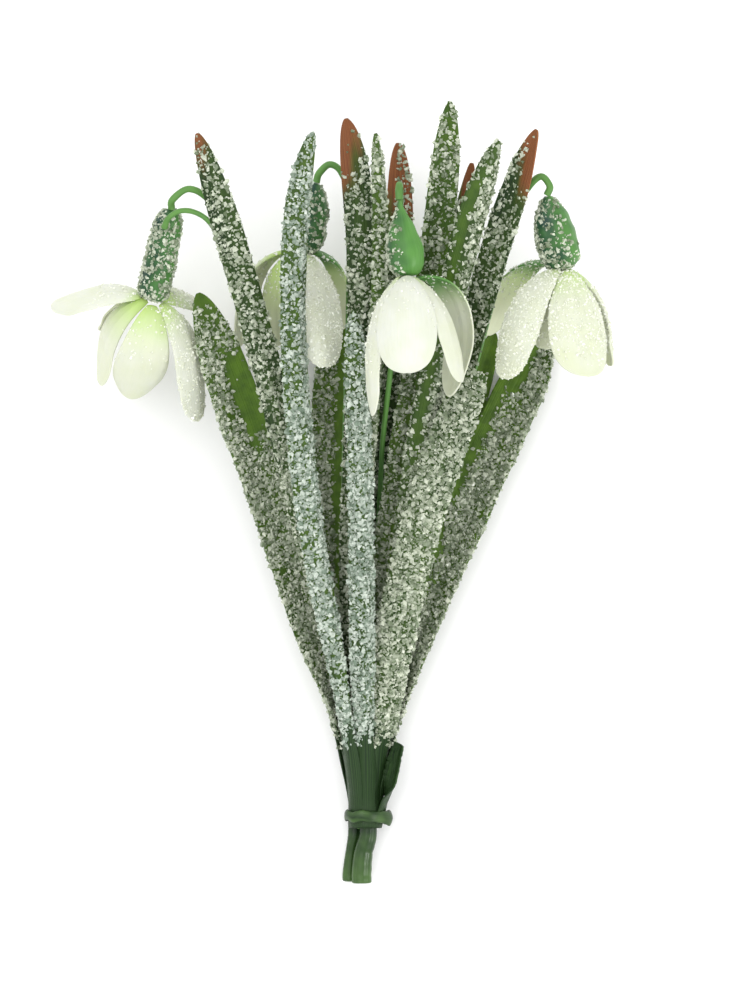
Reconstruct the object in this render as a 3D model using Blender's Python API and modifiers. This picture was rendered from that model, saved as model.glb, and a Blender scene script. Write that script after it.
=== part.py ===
"""A cut bunch of four frosted snowdrops, lying on a table.

The bunch lies along +Y: the cut stem ends are at its low-Y end and the flowers and leaf tips at its
high-Y end. +Z is up, off the table, and +X is the bunch's right when it is looked down on with the
flowers away from the viewer. Every length below is in millimetres and becomes metres in to_metres.
Points are first given from the middle of the cut end, on the table. The last step moves the whole
bunch so that the origin is the bottom centre of its box.
"""

import math
from collections import namedtuple

import bpy
from mathutils import Matrix, Vector

# Driving dimensions, in millimetres
TIE_LOW, TIE_HIGH = 15.4, 18.8  # the tie's two rims, measured from the cut end
TIE_CENTRE = Vector((0.9, 17.0, 5.5))  # every root is placed round this axis
TIE_INNER, TIE_OUTER = 4.7, 5.25
ROOT_LOW = 13.8  # leaves and flower stems begin here, just under the tie
ROOT_HIGH = 19.6  # and run straight up to here before they spread
LEAF_THICK = 0.5
PETAL_THICK = 0.5
STEM_RADIUS = 0.65
PETAL_HOLLOW = 10.5  # how tightly a petal is curved across
TOUCH_GAP = 0.3  # what is left between two pieces that touch

# Where roots sit in the tie: radius from its axis, and the root's half width
Ring = namedtuple("Ring", "radius half_width")
OUTER = Ring(4.1, 1.3)
MIDDLE = Ring(2.9, 0.9)
INNER = Ring(1.5, 0.6)
CUT = Ring(5.6, 1.6)

# A leaf runs from its root through low and high to its tip. angle is where its root sits in the ring,
# 0 to the right and 90 up. face is where its upper side looks at the tip, read the same way. fold is
# how far each half is folded up towards that side. grown is the share of the length at which the leaf
# has its full width, taper the share at which it starts to narrow, and end its half width at the tip.
Leaf = namedtuple("Leaf", "name ring angle low high tip width face fold grown taper end")
LEAVES = [
    Leaf("leaf_left_wide", OUTER, 180, (-10.6, 59, 10), (-25.2, 103, 18), (-41, 148.5, 32),
         12.8, 74, 14, 0.42, 0.82, 0.4),
    Leaf("leaf_left_tall", MIDDLE, 186, (-11, 74, 20.5), (-23.5, 128, 34), (-41, 188, 46),
         8, 285, 14, 0.55, 0.86, 0.4),
    Leaf("leaf_front_left", OUTER, 135, (-9, 72, 28), (-15.5, 130, 43), (-12, 188, 52),
         8.8, 238, 34, 0.5, 0.86, 0.4),
    Leaf("leaf_russet_left", MIDDLE, 131, (-3, 74, 17.5), (0, 134, 31), (-4, 192, 37),
         8, 276, 14, 0.55, 0.89, 0.4),
    Leaf("leaf_narrow_centre", MIDDLE, 90, (-0.5, 74, 22), (4.3, 134, 34.5), (3.5, 188, 45),
         5.6, 240, 38, 0.55, 0.84, 0.4),
    Leaf("leaf_russet_centre", OUTER, 270, (1.5, 74, 10), (7, 132, 24), (9, 186, 33),
         7.2, 80, 14, 0.55, 0.88, 0.4),
    Leaf("leaf_tall_centre", INNER, 90, (5.3, 76, 16.3), (15, 136, 31), (22, 196, 42),
         8, 96, 18, 0.5, 0.87, 0.4),
    Leaf("leaf_folded_right", MIDDLE, 42, (9.5, 74, 20.3), (20, 134, 37.5), (34, 186, 50),
         8.6, 250, 30, 0.55, 0.85, 0.4),
    Leaf("leaf_russet_right", MIDDLE, 0, (12, 74, 14), (25.5, 131, 28), (43.5, 189, 44),
         8.5, 120, 14, 0.55, 0.87, 0.4),
    Leaf("leaf_russet_back", MIDDLE, 308, (7, 74, 7), (18, 132, 20), (27.5, 181, 32),
         5, 95, 14, 0.55, 0.84, 0.4),
    Leaf("leaf_front_centre", OUTER, 90, (0.5, 60, 25), (0, 103, 38), (-2, 144, 44),
         8, 258, 40, 0.32, 0.82, 0.4),
    Leaf("leaf_back_left", OUTER, 225, (-6.2, 57, 4), (-8, 101, 3.3), (-6, 146, 0.6),
         10.5, 88, 12, 0.32, 0.8, 0.4),
    Leaf("leaf_front_right", OUTER, 45, (6.4, 53, 18), (15.5, 93, 30), (28.5, 129, 39),
         10.5, 275, 12, 0.29, 0.84, 2.4),
    Leaf("leaf_right_wide", OUTER, 0, (13, 57, 8), (28.5, 99, 7.5), (47, 137.5, 0.7),
         13.6, 104, 14, 0.75, 0.83, 0.4),
    Leaf("leaf_back_right", OUTER, 315, (10, 56, 3.2), (21, 99, 2.6), (33.5, 139, 1.8),
         8, 96, 12, 0.55, 0.83, 0.4),
    Leaf("sheath_stub", CUT, 25, (7.5, 24.5, 9.4), (8.6, 30, 10.6), (9.8, 35.3, 11.6),
         5.0, 145, 16, 0.32, 0.9, 1.9),
]

# A petal leaves the base at this turn round the flower's axis, 0 to the right and 90 up. low and high are
# the angles from the axis at which it sets out and ends. length runs along it and width is its widest.
Petal = namedtuple("Petal", "turn length width low high")
# A flower hangs from base, where its petals meet, along aim. calyx_top is where its stem enters, and
# calyx is the cap's largest radius. petals are outer and inner in turn. stem lists the points that the
# stem passes, calyx end first, and root is its place in the tie.
Flower = namedtuple("Flower", "name base aim calyx_top calyx petals root stem")
FLOWERS = [
    Flower("left", (-52.5, 147, 30.3), (-0.2, -0.78, -0.55), (-47.5, 169, 39), 4.0,
           [Petal(80, 33, 15, 80, -32), Petal(151, 30, 10.5, 77, -13),
            Petal(186, 25, 13.5, 95, 48), Petal(225, 24, 11, 72, 14),
            Petal(19, 34, 14, 73, 12), Petal(306, 22, 13, 95, 50)], (INNER, 180),
           [(-47.2, 171.5, 40), (-43.5, 174.2, 40), (-39.5, 172.7, 39), (-36.8, 168, 37.5),
            (-31.5, 147, 32.5), (-24, 122, 27), (-16.5, 98, 21.5), (-8.5, 65, 14), (-4.4, 44, 9),
            (-2.9, 35, 7.2)]),
    Flower("back_left", (-15.5, 159, 23.5), (-0.1, -0.97, -0.1), (-11.5, 176, 27.5), 5.2,
           [Petal(62, 33, 14, 70, 14), Petal(136, 27, 12, 70, -20),
            Petal(200, 32, 14, 85, -6), Petal(242, 21, 11, 60, -22),
            Petal(276, 24, 11.5, 72, -10), Petal(334, 27, 12, 112, -4)], (MIDDLE, 225),
           [(-10.7, 178.5, 28), (-8, 180.7, 28.5), (-5, 178.3, 28.5), (-3.2, 170, 27.5), (-3.5, 140, 22.5),
            (-4.5, 100, 15), (-4, 65, 9.5), (-1.1, 35, 5.8)]),
    Flower("centre", (11.5, 152, 53), (0.03, -0.96, 0.10), (9.3, 171, 51), 4.6,
           [Petal(95, 29, 17.0, 66, 0), Petal(132, 21, 11, 48, -4),
            Petal(165, 37, 12.5, 50, -6), Petal(273, 20, 11, 56, -14),
            Petal(324, 40, 13, 112, -26), Petal(24, 31, 12.5, 62, 5)], (INNER, 20),
           [(9.1, 173.5, 50.6), (9.3, 175, 48.5), (9.5, 172, 46.5), (9.3, 150, 42), (7, 128, 34.5),
            (5.2, 112, 24.5), (4.5, 98, 17.5), (3, 65, 10.8), (2, 35, 6.7)]),
    Flower("right", (50.5, 154.5, 34), (-0.12, -0.97, -0.12), (46.2, 172.5, 38), 5.1,
           [Petal(130, 34, 13, 76, 6), Petal(109, 22, 12, 60, 0),
            Petal(69, 32, 17.5, 66, 28), Petal(340, 29, 12, 75, 10),
            Petal(221, 33, 13, 114, 10), Petal(244, 22, 12, 60, -24)], (INNER, 300),
           [(46.8, 175, 38.5), (44.6, 177.4, 38.5), (41.5, 174.6, 37.5), (38.5, 168, 35.5), (31, 140, 26.5),
            (20.5, 102, 15.5), (10, 65, 8.8), (4.3, 35, 5.6)]),
]
OUTER_BASE, INNER_BASE = 2.6, 1.3  # how far from the axis an outer and an inner petal begin
# The second thin stalk of the left flower, from the front of its calyx down to the flower's stem
LEFT_BRACT = [(-49.2, 164.5, 42), (-48.2, 166.8, 43.2), (-45.5, 168.6, 43.4), (-42, 168.5, 42),
              (-38.5, 166.5, 40), (-36, 162.5, 38.2), (-34.4, 156, 36.4)]

BUNCH = bpy.data.collections.new("snowdrop_bunch")


def to_metres(point):
    return Vector(point) * 0.001


def smooth(low, high, x):
    """0 below low, 1 above high and a soft step between."""
    t = min(max((x - low) / (high - low), 0.0), 1.0)
    return t * t * (3 - 2 * t)


def through(p0, p1, p2, p3, t):
    """The cubic that passes p0, p1, p2 and p3 at t = 0, 1/3, 2/3 and 1."""
    a, b, c = 3 * t - 1, 3 * t - 2, t - 1
    return (p1 * (9 * b * t) - p2 * (9 * a * t)) * c / 2 + (p3 * t - p0 * c) * a * b / 2


def direction(angle):
    """The unit vector across the bunch at this angle: 0 is right, 90 is up."""
    turned = math.radians(angle)
    return Vector((math.cos(turned), 0, math.sin(turned)))


def add(obj, material):
    obj.data.materials.append(material)
    BUNCH.objects.link(obj)
    return obj


def principled(name, colour, roughness):
    material = bpy.data.materials.new(name)
    material.use_nodes = True
    shader = material.node_tree.nodes["Principled BSDF"]
    shader.inputs["Base Color"].default_value = (*colour, 1)
    shader.inputs["Roughness"].default_value = roughness
    return material


def sheet(name, rows, thickness, material):
    """A closed thin shell over a grid of points, given as rows in millimetres."""
    across = len(rows[0])
    points = [to_metres(p) for row in rows for p in row]
    faces = [
        (i * across + k, i * across + k + 1, (i + 1) * across + k + 1, (i + 1) * across + k)
        for i in range(len(rows) - 1)
        for k in range(across - 1)
    ]
    mesh = bpy.data.meshes.new(name)
    mesh.from_pydata(points, [], faces)
    mesh.shade_smooth()
    obj = add(bpy.data.objects.new(name, mesh), material)
    solidify = obj.modifiers.new("thickness", "SOLIDIFY")
    solidify.thickness = thickness * 0.001
    solidify.offset = 0
    return obj


# Leaves
LEAF_STATIONS = 13
ACROSS = (-1, -0.5, 0, 0.5, 1)


def root_of(leaf, y):
    spot = TIE_CENTRE + direction(leaf.angle) * leaf.ring.radius
    return Vector((spot.x, y, spot.z))


def leaf_centre(leaf, t):
    """The middle of the leaf at t from 0, above the tie, to 1, the tip. Below 0 it runs down the tie."""
    if t < 0:
        return root_of(leaf, ROOT_LOW)
    return through(root_of(leaf, ROOT_HIGH), Vector(leaf.low), Vector(leaf.high), Vector(leaf.tip), t)


def leaf_half_width(leaf, t):
    grown = leaf.ring.half_width + (leaf.width / 2 - leaf.ring.half_width) * smooth(0, leaf.grown, t)
    beyond = max((t - leaf.taper) / (1 - leaf.taper), 0)
    return leaf.end + (grown - leaf.end) * (1 - beyond**2) ** 0.65


def leaf_row(leaf, t):
    step = 0.01
    along = Vector((0, 1, 0))
    if t > 0:
        along = (leaf_centre(leaf, t + step) - leaf_centre(leaf, t - step)).normalized()
    root_face = leaf.angle + 180
    turn = (leaf.face - root_face + 180) % 360 - 180
    up = direction(root_face + turn * smooth(0, 0.45, t))
    up = (up - along * up.dot(along)).normalized()
    side = along.cross(up)
    half = leaf_half_width(leaf, t)
    fold = math.radians(leaf.fold) * smooth(0, 0.2, t)
    flat, raised = side * (half * math.cos(fold)), up * (half * math.sin(fold))
    return [leaf_centre(leaf, t) + flat * s + raised * abs(s) ** 1.4 for s in ACROSS]


def make_leaf(leaf, material):
    shares = [1 - (1 - k / LEAF_STATIONS) ** 1.5 for k in range(LEAF_STATIONS + 1)]
    first = [] if leaf.ring is CUT else [-1]
    sheet(leaf.name, [leaf_row(leaf, t) for t in first + shares], LEAF_THICK, material)


# Flowers
PETAL_STATIONS = 8
SPINE_STEPS = 6


def frame_along(aim):
    """Two unit vectors that stand square to aim: the first to the right, the second towards +Z."""
    up = Vector((0, 0, 1)) - aim * aim.z
    up.normalize()
    return up.cross(aim), up


def petal_half_width(t, width):
    """Narrow at the claw, widest at 0.62 of the length and round at the tip."""
    grow, close = 0.8, 0.45
    widest = grow / (grow + close)
    bulge = (t / widest) ** grow * ((1 - t) / (1 - widest)) ** close
    return max(1.0 * (1 - t) + (width / 2 - 0.5) * bulge, 0.5)


def petal_spine(petal, base_radius):
    """(t, along, out, angle) for each row: it bends most near the base and runs nearly straight to the tip."""
    along, out, done = 0.0, base_radius, 0.0
    spine = []
    for k in range(PETAL_STATIONS + 1):
        t = 1 - (1 - k / PETAL_STATIONS) ** 1.35
        for step in range(SPINE_STEPS):
            middle = done + (t - done) * (step + 0.5) / SPINE_STEPS
            angle = math.radians(petal.high + (petal.low - petal.high) * (1 - middle) ** 2)
            along += petal.length * (t - done) / SPINE_STEPS * math.cos(angle)
            out += petal.length * (t - done) / SPINE_STEPS * math.sin(angle)
        done = t
        angle = math.radians(petal.high + (petal.low - petal.high) * (1 - t) ** 2)
        spine.append((t, along, out, angle))
    return spine


def petal_rows(flower, number):
    """The grid of one petal. Odd petals are the inner ones, tucked between the outer three."""
    petal = flower.petals[number]
    base, aim = Vector(flower.base), Vector(flower.aim).normalized()
    right, up = frame_along(aim)
    around = math.radians(petal.turn)
    outwards = right * math.cos(around) + up * math.sin(around)
    tangent = aim.cross(outwards)
    rows = []
    for t, along, out, angle in petal_spine(petal, INNER_BASE if number % 2 else OUTER_BASE):
        middle = base + aim * along + outwards * out
        normal = outwards * math.cos(angle) - aim * math.sin(angle)
        hollow = min(out * 0.95, PETAL_HOLLOW)
        bent = [s * petal_half_width(t, petal.width) / hollow for s in ACROSS]
        rows.append([
            middle + (tangent * math.sin(b) - normal * (1 - math.cos(b))) * hollow for b in bent
        ])
    return rows


def make_calyx(flower, material):
    """The green cap over the petals: a turned shape, slim where the stem enters."""
    base, top = Vector(flower.base), Vector(flower.calyx_top)
    length = (top - base).length - TOUCH_GAP
    wide = flower.calyx
    profile = [(0, 1.0), (1.0, 1.0), (1.5, 0.92), (wide * 0.78, 0.75), (wide, 0.44),
               (wide * 0.88, 0.17), (wide * 0.45, 0.02), (0, 0)]
    mesh = bpy.data.meshes.new(f"{flower.name}_calyx")
    points = [(r * 0.001, 0, share * length * 0.001) for r, share in profile]
    mesh.from_pydata(points, [(i, i + 1) for i in range(len(points) - 1)], [])
    obj = add(bpy.data.objects.new(f"{flower.name}_calyx", mesh), material)
    obj.location = to_metres(base + (top - base).normalized() * TOUCH_GAP)
    obj.rotation_mode = "QUATERNION"
    obj.rotation_quaternion = (top - base).to_track_quat("Z", "Y")
    screw = obj.modifiers.new("turn", "SCREW")
    screw.steps = screw.render_steps = 12
    screw.use_merge_vertices = True
    screw.merge_threshold = 0.0001
    return obj


def smooth_line(points, steps):
    """Points along a Catmull-Rom curve through the given ones."""
    ends = [points[0] * 2 - points[1], *points, points[-1] * 2 - points[-2]]
    line = []
    for a, b, c, d in zip(ends, ends[1:], ends[2:], ends[3:]):
        for k in range(steps):
            t = k / steps
            bend = a * 2 - b * 5 + c * 4 - d
            twist = b * 3 - a - c * 3 + d
            line.append((b * 2 + (c - a) * t + bend * t**2 + twist * t**3) / 2)
    return [*line, points[-1]]


def tube(name, line, radii, material, sides=1):
    curve = bpy.data.curves.new(name, "CURVE")
    curve.dimensions = "3D"
    curve.bevel_depth = 0.001
    curve.bevel_resolution = sides
    curve.use_fill_caps = True
    spline = curve.splines.new("POLY")
    spline.points.add(len(line) - 1)
    for point, place, radius in zip(spline.points, line, radii):
        point.co = (*to_metres(place), 1)
        point.radius = radius
    return add(bpy.data.objects.new(name, curve), material)


def make_stem(flower, material):
    """The flower's stem: from the calyx it arches over and runs down into the tie."""
    top = Vector(flower.calyx_top)
    into = (top - Vector(flower.base)).normalized()
    ring, angle = flower.root
    foot = TIE_CENTRE + direction(angle) * ring.radius
    points = [top + into * TOUCH_GAP, *map(Vector, flower.stem)]
    points += [Vector((foot.x, ROOT_HIGH, foot.z)), Vector((foot.x, ROOT_LOW, foot.z))]
    line = smooth_line(points, 3)
    tube(f"{flower.name}_stem", line, [STEM_RADIUS] * len(line), material)


def make_flower(flower, petal_material, green):
    for number in range(6):
        sheet(f"{flower.name}_petal_{number + 1}", petal_rows(flower, number), PETAL_THICK, petal_material)
    make_calyx(flower, green)
    make_stem(flower, green)


# The tied foot of the bunch
def make_tie(material):
    """A soft band round the roots, turned about the bunch's own length."""
    middle, half = (TIE_INNER + TIE_OUTER) / 2, (TIE_HIGH - TIE_LOW) / 2
    profile = [(TIE_INNER, half * 0.8), (middle, half), (TIE_OUTER, half * 0.5),
               (TIE_OUTER, -half * 0.5), (middle, -half), (TIE_INNER, -half * 0.8)]
    mesh = bpy.data.meshes.new("tie")
    count = len(profile)
    points = [(r * 0.001, 0, h * 0.001) for r, h in profile]
    mesh.from_pydata(points, [(i, (i + 1) % count) for i in range(count)], [])
    obj = add(bpy.data.objects.new("tie", mesh), material)
    obj.location = to_metres((TIE_CENTRE.x, (TIE_LOW + TIE_HIGH) / 2, TIE_CENTRE.z))
    obj.rotation_euler = (math.radians(-90), 0, 0)
    screw = obj.modifiers.new("turn", "SCREW")
    screw.steps = screw.render_steps = 24
    screw.use_merge_vertices = True
    screw.merge_threshold = 0.0001
    return obj


def make_stem_ends(material):
    """The two cut stems that stick out under the tie, side by side."""
    top = ROOT_LOW - TOUCH_GAP
    tube("stem_end_front", [(-0.1, 0, 5.2), (-0.1, 3, 5.2), (0.4, 8, 5.7), (1.5, 12, 6.4), (1.5, top, 6.4)],
         [2.5, 2.5, 2.35, 2.2, 2.2], material, 2)
    tube("stem_end_back",
         [(-3.3, 0.4, 1.8), (-3.2, 3, 1.9), (-2.7, 8, 2.6), (-1.9, 12, 3.4), (-1.9, top, 3.4)],
         [1.75, 1.7, 1.5, 1.7, 1.7], material, 2)


def centre_on_table():
    """Moves the bunch so that the origin is the bottom centre of its box."""
    bpy.context.view_layer.update()
    graph = bpy.context.evaluated_depsgraph_get()
    corners = []
    for obj in BUNCH.objects:
        shown = obj.evaluated_get(graph)
        mesh = shown.to_mesh()
        corners += [shown.matrix_world @ vertex.co for vertex in mesh.vertices]
        shown.to_mesh_clear()
    low = Vector(min(p[axis] for p in corners) for axis in range(3))
    high = Vector(max(p[axis] for p in corners) for axis in range(3))
    shift = Matrix.Translation(-Vector(((low.x + high.x) / 2, (low.y + high.y) / 2, low.z)))
    for obj in BUNCH.objects:
        obj.matrix_world = shift @ obj.matrix_world
    print("moved by", tuple(round(x * 1000, 3) for x in shift.translation), "mm")


def main():
    for old in list(bpy.data.objects):
        bpy.data.objects.remove(old)
    bpy.context.scene.collection.children.link(BUNCH)
    leaf_green = principled("leaf_green", (0.10, 0.20, 0.06), 0.55)
    stem_green = principled("stem_green", (0.14, 0.32, 0.07), 0.45)
    foot_green = principled("foot_green", (0.05, 0.14, 0.05), 0.5)
    petal_white = principled("petal_white", (0.88, 0.90, 0.80), 0.6)
    for leaf in LEAVES:
        make_leaf(leaf, leaf_green)
    for flower in FLOWERS:
        make_flower(flower, petal_white, stem_green)
    bract = smooth_line([Vector(p) for p in LEFT_BRACT], 3)
    tube("left_bract", bract, [STEM_RADIUS * 0.9] * len(bract), stem_green)
    make_tie(foot_green)
    make_stem_ends(foot_green)
    centre_on_table()


main()
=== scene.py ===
# %% [markdown]
# # A tied bunch of frosted snowdrops
# The bunch is an artificial one: moulded green leaves dipped in glue and rolled in clear crystals, four
# nodding white flowers on thin wire stems, and a short foot of cut stems held by a soft band.
# It lies on a table along +Y, with its cut end at low Y, and it is looked at from straight above.
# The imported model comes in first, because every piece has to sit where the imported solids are.

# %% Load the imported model
import math
from collections import namedtuple

import bmesh
import bpy
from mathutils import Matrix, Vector, noise


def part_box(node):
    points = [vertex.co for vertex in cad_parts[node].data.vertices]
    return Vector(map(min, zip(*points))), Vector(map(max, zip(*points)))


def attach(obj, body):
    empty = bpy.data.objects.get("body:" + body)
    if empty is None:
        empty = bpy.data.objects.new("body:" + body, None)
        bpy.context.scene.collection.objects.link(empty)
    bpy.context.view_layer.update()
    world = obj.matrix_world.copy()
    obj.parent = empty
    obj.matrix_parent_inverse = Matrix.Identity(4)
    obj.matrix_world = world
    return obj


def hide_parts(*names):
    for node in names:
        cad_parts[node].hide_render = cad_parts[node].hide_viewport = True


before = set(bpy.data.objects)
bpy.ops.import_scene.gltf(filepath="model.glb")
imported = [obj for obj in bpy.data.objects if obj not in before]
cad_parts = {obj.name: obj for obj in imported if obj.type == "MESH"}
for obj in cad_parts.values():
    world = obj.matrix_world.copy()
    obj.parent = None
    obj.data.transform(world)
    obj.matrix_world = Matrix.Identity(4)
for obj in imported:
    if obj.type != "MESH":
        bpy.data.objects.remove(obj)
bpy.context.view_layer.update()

# %% [markdown]
# ## Where everything goes
# The bunch was designed in millimetres from the middle of its cut end, which are handy numbers to think
# in: a petal is 33 long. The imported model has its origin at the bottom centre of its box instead. The tie
# is a plain ring, so the centre of its box is its own centre, and that one known point gives the shift
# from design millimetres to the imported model's metres.

# %% From design millimetres to metres
MM = 0.001
TIE_CENTRE = Vector((0.9, 17.1, 5.5))
tie_low, tie_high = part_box("tie")
SHIFT = (tie_low + tie_high) / 2 - TIE_CENTRE * MM


def place(point):
    """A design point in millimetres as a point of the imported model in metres."""
    return Vector(point) * MM + SHIFT


def smooth(low, high, x):
    """0 below low, 1 above high and a soft step between."""
    t = min(max((x - low) / (high - low), 0.0), 1.0)
    return t * t * (3 - 2 * t)


def wander(seed, x, y, size):
    """Soft noise from about -1 to 1 whose bumps are about size across."""
    return noise.noise(Vector((x / size, y / size, seed * 7.3))) * 1.6


print("shift", tuple(round(x, 6) for x in SHIFT))

# %% [markdown]
# ## Building a node tree in a script
# Materials and Geometry Nodes are both trees of nodes. Typing every link by hand is long and easy to get
# wrong, so one helper adds a node, sets its options, and fills its inputs: an input that is given another
# node's output is linked, and one that is given a plain value has that value set on the socket itself.

# %% Helper for every tree
def add_node(tree, kind, inputs=None, **options):
    """Adds a node. inputs maps a socket's name or number to a value or to another node's output."""
    made = tree.nodes.new(kind)
    for option, value in options.items():
        setattr(made, option, value)
    for key, value in (inputs or {}).items():
        if isinstance(key, int):
            socket = made.inputs[key]
        else:
            socket = next(s for s in made.inputs if s.name == key and s.enabled)
        if isinstance(value, bpy.types.NodeSocket):
            tree.links.new(value, socket)
        else:
            socket.default_value = value
    return made


def result(made):
    """The output of a node that is switched on."""
    return next(s for s in made.outputs if s.enabled)


# %% [markdown]
# ## Greens, whites and ice
# Each finish is one Principled shader fed by a few patterns. The patterns read the piece's own UV map
# (across and along the leaf or petal) or values that are painted on its points while it is shaped, such as
# how russet the tip is. That way veins follow the leaf instead of cutting across it.

# %% Helpers for materials
MIX_FACTOR, MIX_A, MIX_B, MIX_RESULT = 0, 6, 7, 2  # a Mix node's colour sockets


def new_finish(name):
    """A material with its tree and shader, ready for patterns."""
    material = bpy.data.materials.new(name)
    material.use_nodes = True
    return material, material.node_tree, material.node_tree.nodes["Principled BSDF"]


def blend_colours(tree, factor, a, b, way="MIX"):
    """A colour between a and b, each a colour or another node's output."""
    inputs = {MIX_FACTOR: factor}
    for socket, colour in ((MIX_A, a), (MIX_B, b)):
        inputs[socket] = colour if isinstance(colour, bpy.types.NodeSocket) else (*colour, 1)
    return add_node(tree, "ShaderNodeMix", inputs, data_type="RGBA", blend_type=way).outputs[MIX_RESULT]


def grain(tree, scale, detail=3.0, stretch=(1, 1, 1), where="Object"):
    """Noise on Object coordinates, or on the UV map, squeezed by stretch."""
    spot = add_node(tree, "ShaderNodeTexCoord").outputs[where]
    moved = add_node(tree, "ShaderNodeMapping", {"Vector": spot, "Scale": stretch})
    made = add_node(tree, "ShaderNodeTexNoise", {
        "Vector": moved.outputs[0], "Scale": scale, "Detail": detail})
    return made.outputs["Fac"]


def painted(tree, name):
    """A value painted on the points of the mesh."""
    return add_node(tree, "ShaderNodeAttribute", attribute_name=name).outputs["Fac"]


def spread(tree, value, low, high, to_low=0.0, to_high=1.0):
    """Stretches low..high of a value over to_low..to_high."""
    inputs = {"Value": value, "From Min": low, "From Max": high, "To Min": to_low, "To Max": to_high}
    return add_node(tree, "ShaderNodeMapRange", inputs).outputs[0]


def relief(tree, shader, height, strength, distance):
    """Fine bump from a height pattern, in metres."""
    bump = add_node(tree, "ShaderNodeBump", {"Height": height, "Strength": strength, "Distance": distance})
    tree.links.new(bump.outputs[0], shader.inputs["Normal"])


def multiply(tree, a, b):
    return add_node(tree, "ShaderNodeMath", {0: a, 1: b}, operation="MULTIPLY").outputs[0]


# %% [markdown]
# ### Leaf green
# The moulded leaves run from a blackish green to a warm olive where light comes through, with fine
# parallel veins, some red-brown tips and a darker, glossier sheath at the foot. Flat paint would look like
# paper, so the veins are noise stretched hard along the UV map, and they drive colour, gloss and bump.

# %% Leaf finish
BLACKISH, OLIVE = (0.008, 0.022, 0.007), (0.086, 0.170, 0.010)
BLOTCH_GREEN, VEIN_GREEN = (0.020, 0.050, 0.009), (0.085, 0.155, 0.028)
DARK_RUST, LIGHT_RUST = (0.080, 0.020, 0.010), (0.300, 0.112, 0.034)
DARK_SHEATH, LIGHT_SHEATH = (0.005, 0.018, 0.005), (0.028, 0.066, 0.016)


def leaf_finish():
    material, tree, shader = new_finish("leaf_green")
    veins = grain(tree, 9.0, 2.0, (5, 0.35, 1), "UV")
    blotch = grain(tree, 320.0)
    green = blend_colours(tree, painted(tree, "tone"), BLACKISH, OLIVE)
    green = blend_colours(tree, spread(tree, blotch, 0.35, 0.7, 0.0, 0.6), green, BLOTCH_GREEN)
    green = blend_colours(tree, spread(tree, veins, 0.42, 0.62, 0.0, 0.22), green, VEIN_GREEN)
    rust = blend_colours(tree, spread(tree, veins, 0.3, 0.7), DARK_RUST, LIGHT_RUST)
    colour = blend_colours(tree, painted(tree, "russet"), green, rust)
    sheath = blend_colours(tree, spread(tree, veins, 0.35, 0.65), DARK_SHEATH, LIGHT_SHEATH)
    colour = blend_colours(tree, painted(tree, "sheath"), colour, sheath)
    tree.links.new(colour, shader.inputs["Base Color"])
    tree.links.new(spread(tree, blotch, 0.3, 0.7, 0.34, 0.55), shader.inputs["Roughness"])
    shader.inputs["Specular IOR Level"].default_value = 0.22
    relief(tree, shader, veins, 0.55, 0.0004)
    return material


LEAF_GREEN = leaf_finish()
print("finish:", LEAF_GREEN.name)

# %% [markdown]
# ### Clear crystals
# The frost is crushed clear plastic, like coarse sugar. Real clear chips take their look from what is
# behind them, so they let light through, and a little of their own milky white keeps them bright. Each
# chip carries its own random value, which makes some chips milky white and some clearer; the brightest
# chips are painted glints, kept light to stand in for sparkle.

# %% Crystal finishes
def crystal_finish(name, deep, pale_and_glint, clearness):
    material, tree, shader = new_finish(name)
    own = painted(tree, "chip")
    cloud = grain(tree, 900.0)
    both = add_node(tree, "ShaderNodeMath", {0: own, 1: cloud}, operation="ADD").outputs[0]
    # the pale end is partly the chips' milky white and partly painted glints: the few brightest chips stand
    # in for sparkle
    whiter_and_glinting = spread(tree, both, 0.62, 1.45)
    tree.links.new(blend_colours(tree, whiter_and_glinting, deep, pale_and_glint), shader.inputs["Base Color"])
    tree.links.new(spread(tree, cloud, 0.3, 0.7, 0.08, 0.3), shader.inputs["Roughness"])
    shader.inputs["Transmission Weight"].default_value = clearness
    shader.inputs["IOR"].default_value = 1.42
    relief(tree, shader, cloud, 0.25, 0.0002)
    return material


WARM_ICE = crystal_finish("clear_crystals_warm", (0.25, 0.32, 0.19), (0.88, 0.93, 0.76), 0.42)
COOL_ICE = crystal_finish("clear_crystals_cool", (0.26, 0.35, 0.26), (0.84, 0.92, 0.82), 0.42)
PETAL_ICE = crystal_finish("fine_crystals", (0.70, 0.73, 0.58), (0.90, 0.92, 0.84), 0.10)
print("finishes:", WARM_ICE.name, COOL_ICE.name, PETAL_ICE.name)

# %% [markdown]
# ### Petals
# A petal is thin and soft, creamy white, and turns yellow-green towards the base where it joins the cap.
# A little subsurface scattering gives the wax-like softness. Very fine ribs run along it.

# %% Petal finish
SHADED_WHITE, BRIGHT_WHITE = (0.565, 0.588, 0.505), (0.608, 0.622, 0.568)
CREAM, FRESH_GREEN, SHOULDER_GREEN = (0.555, 0.595, 0.375), (0.400, 0.560, 0.150), (0.075, 0.210, 0.040)
BETWEEN_RIBS = (0.90, 0.93, 0.78)


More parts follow.
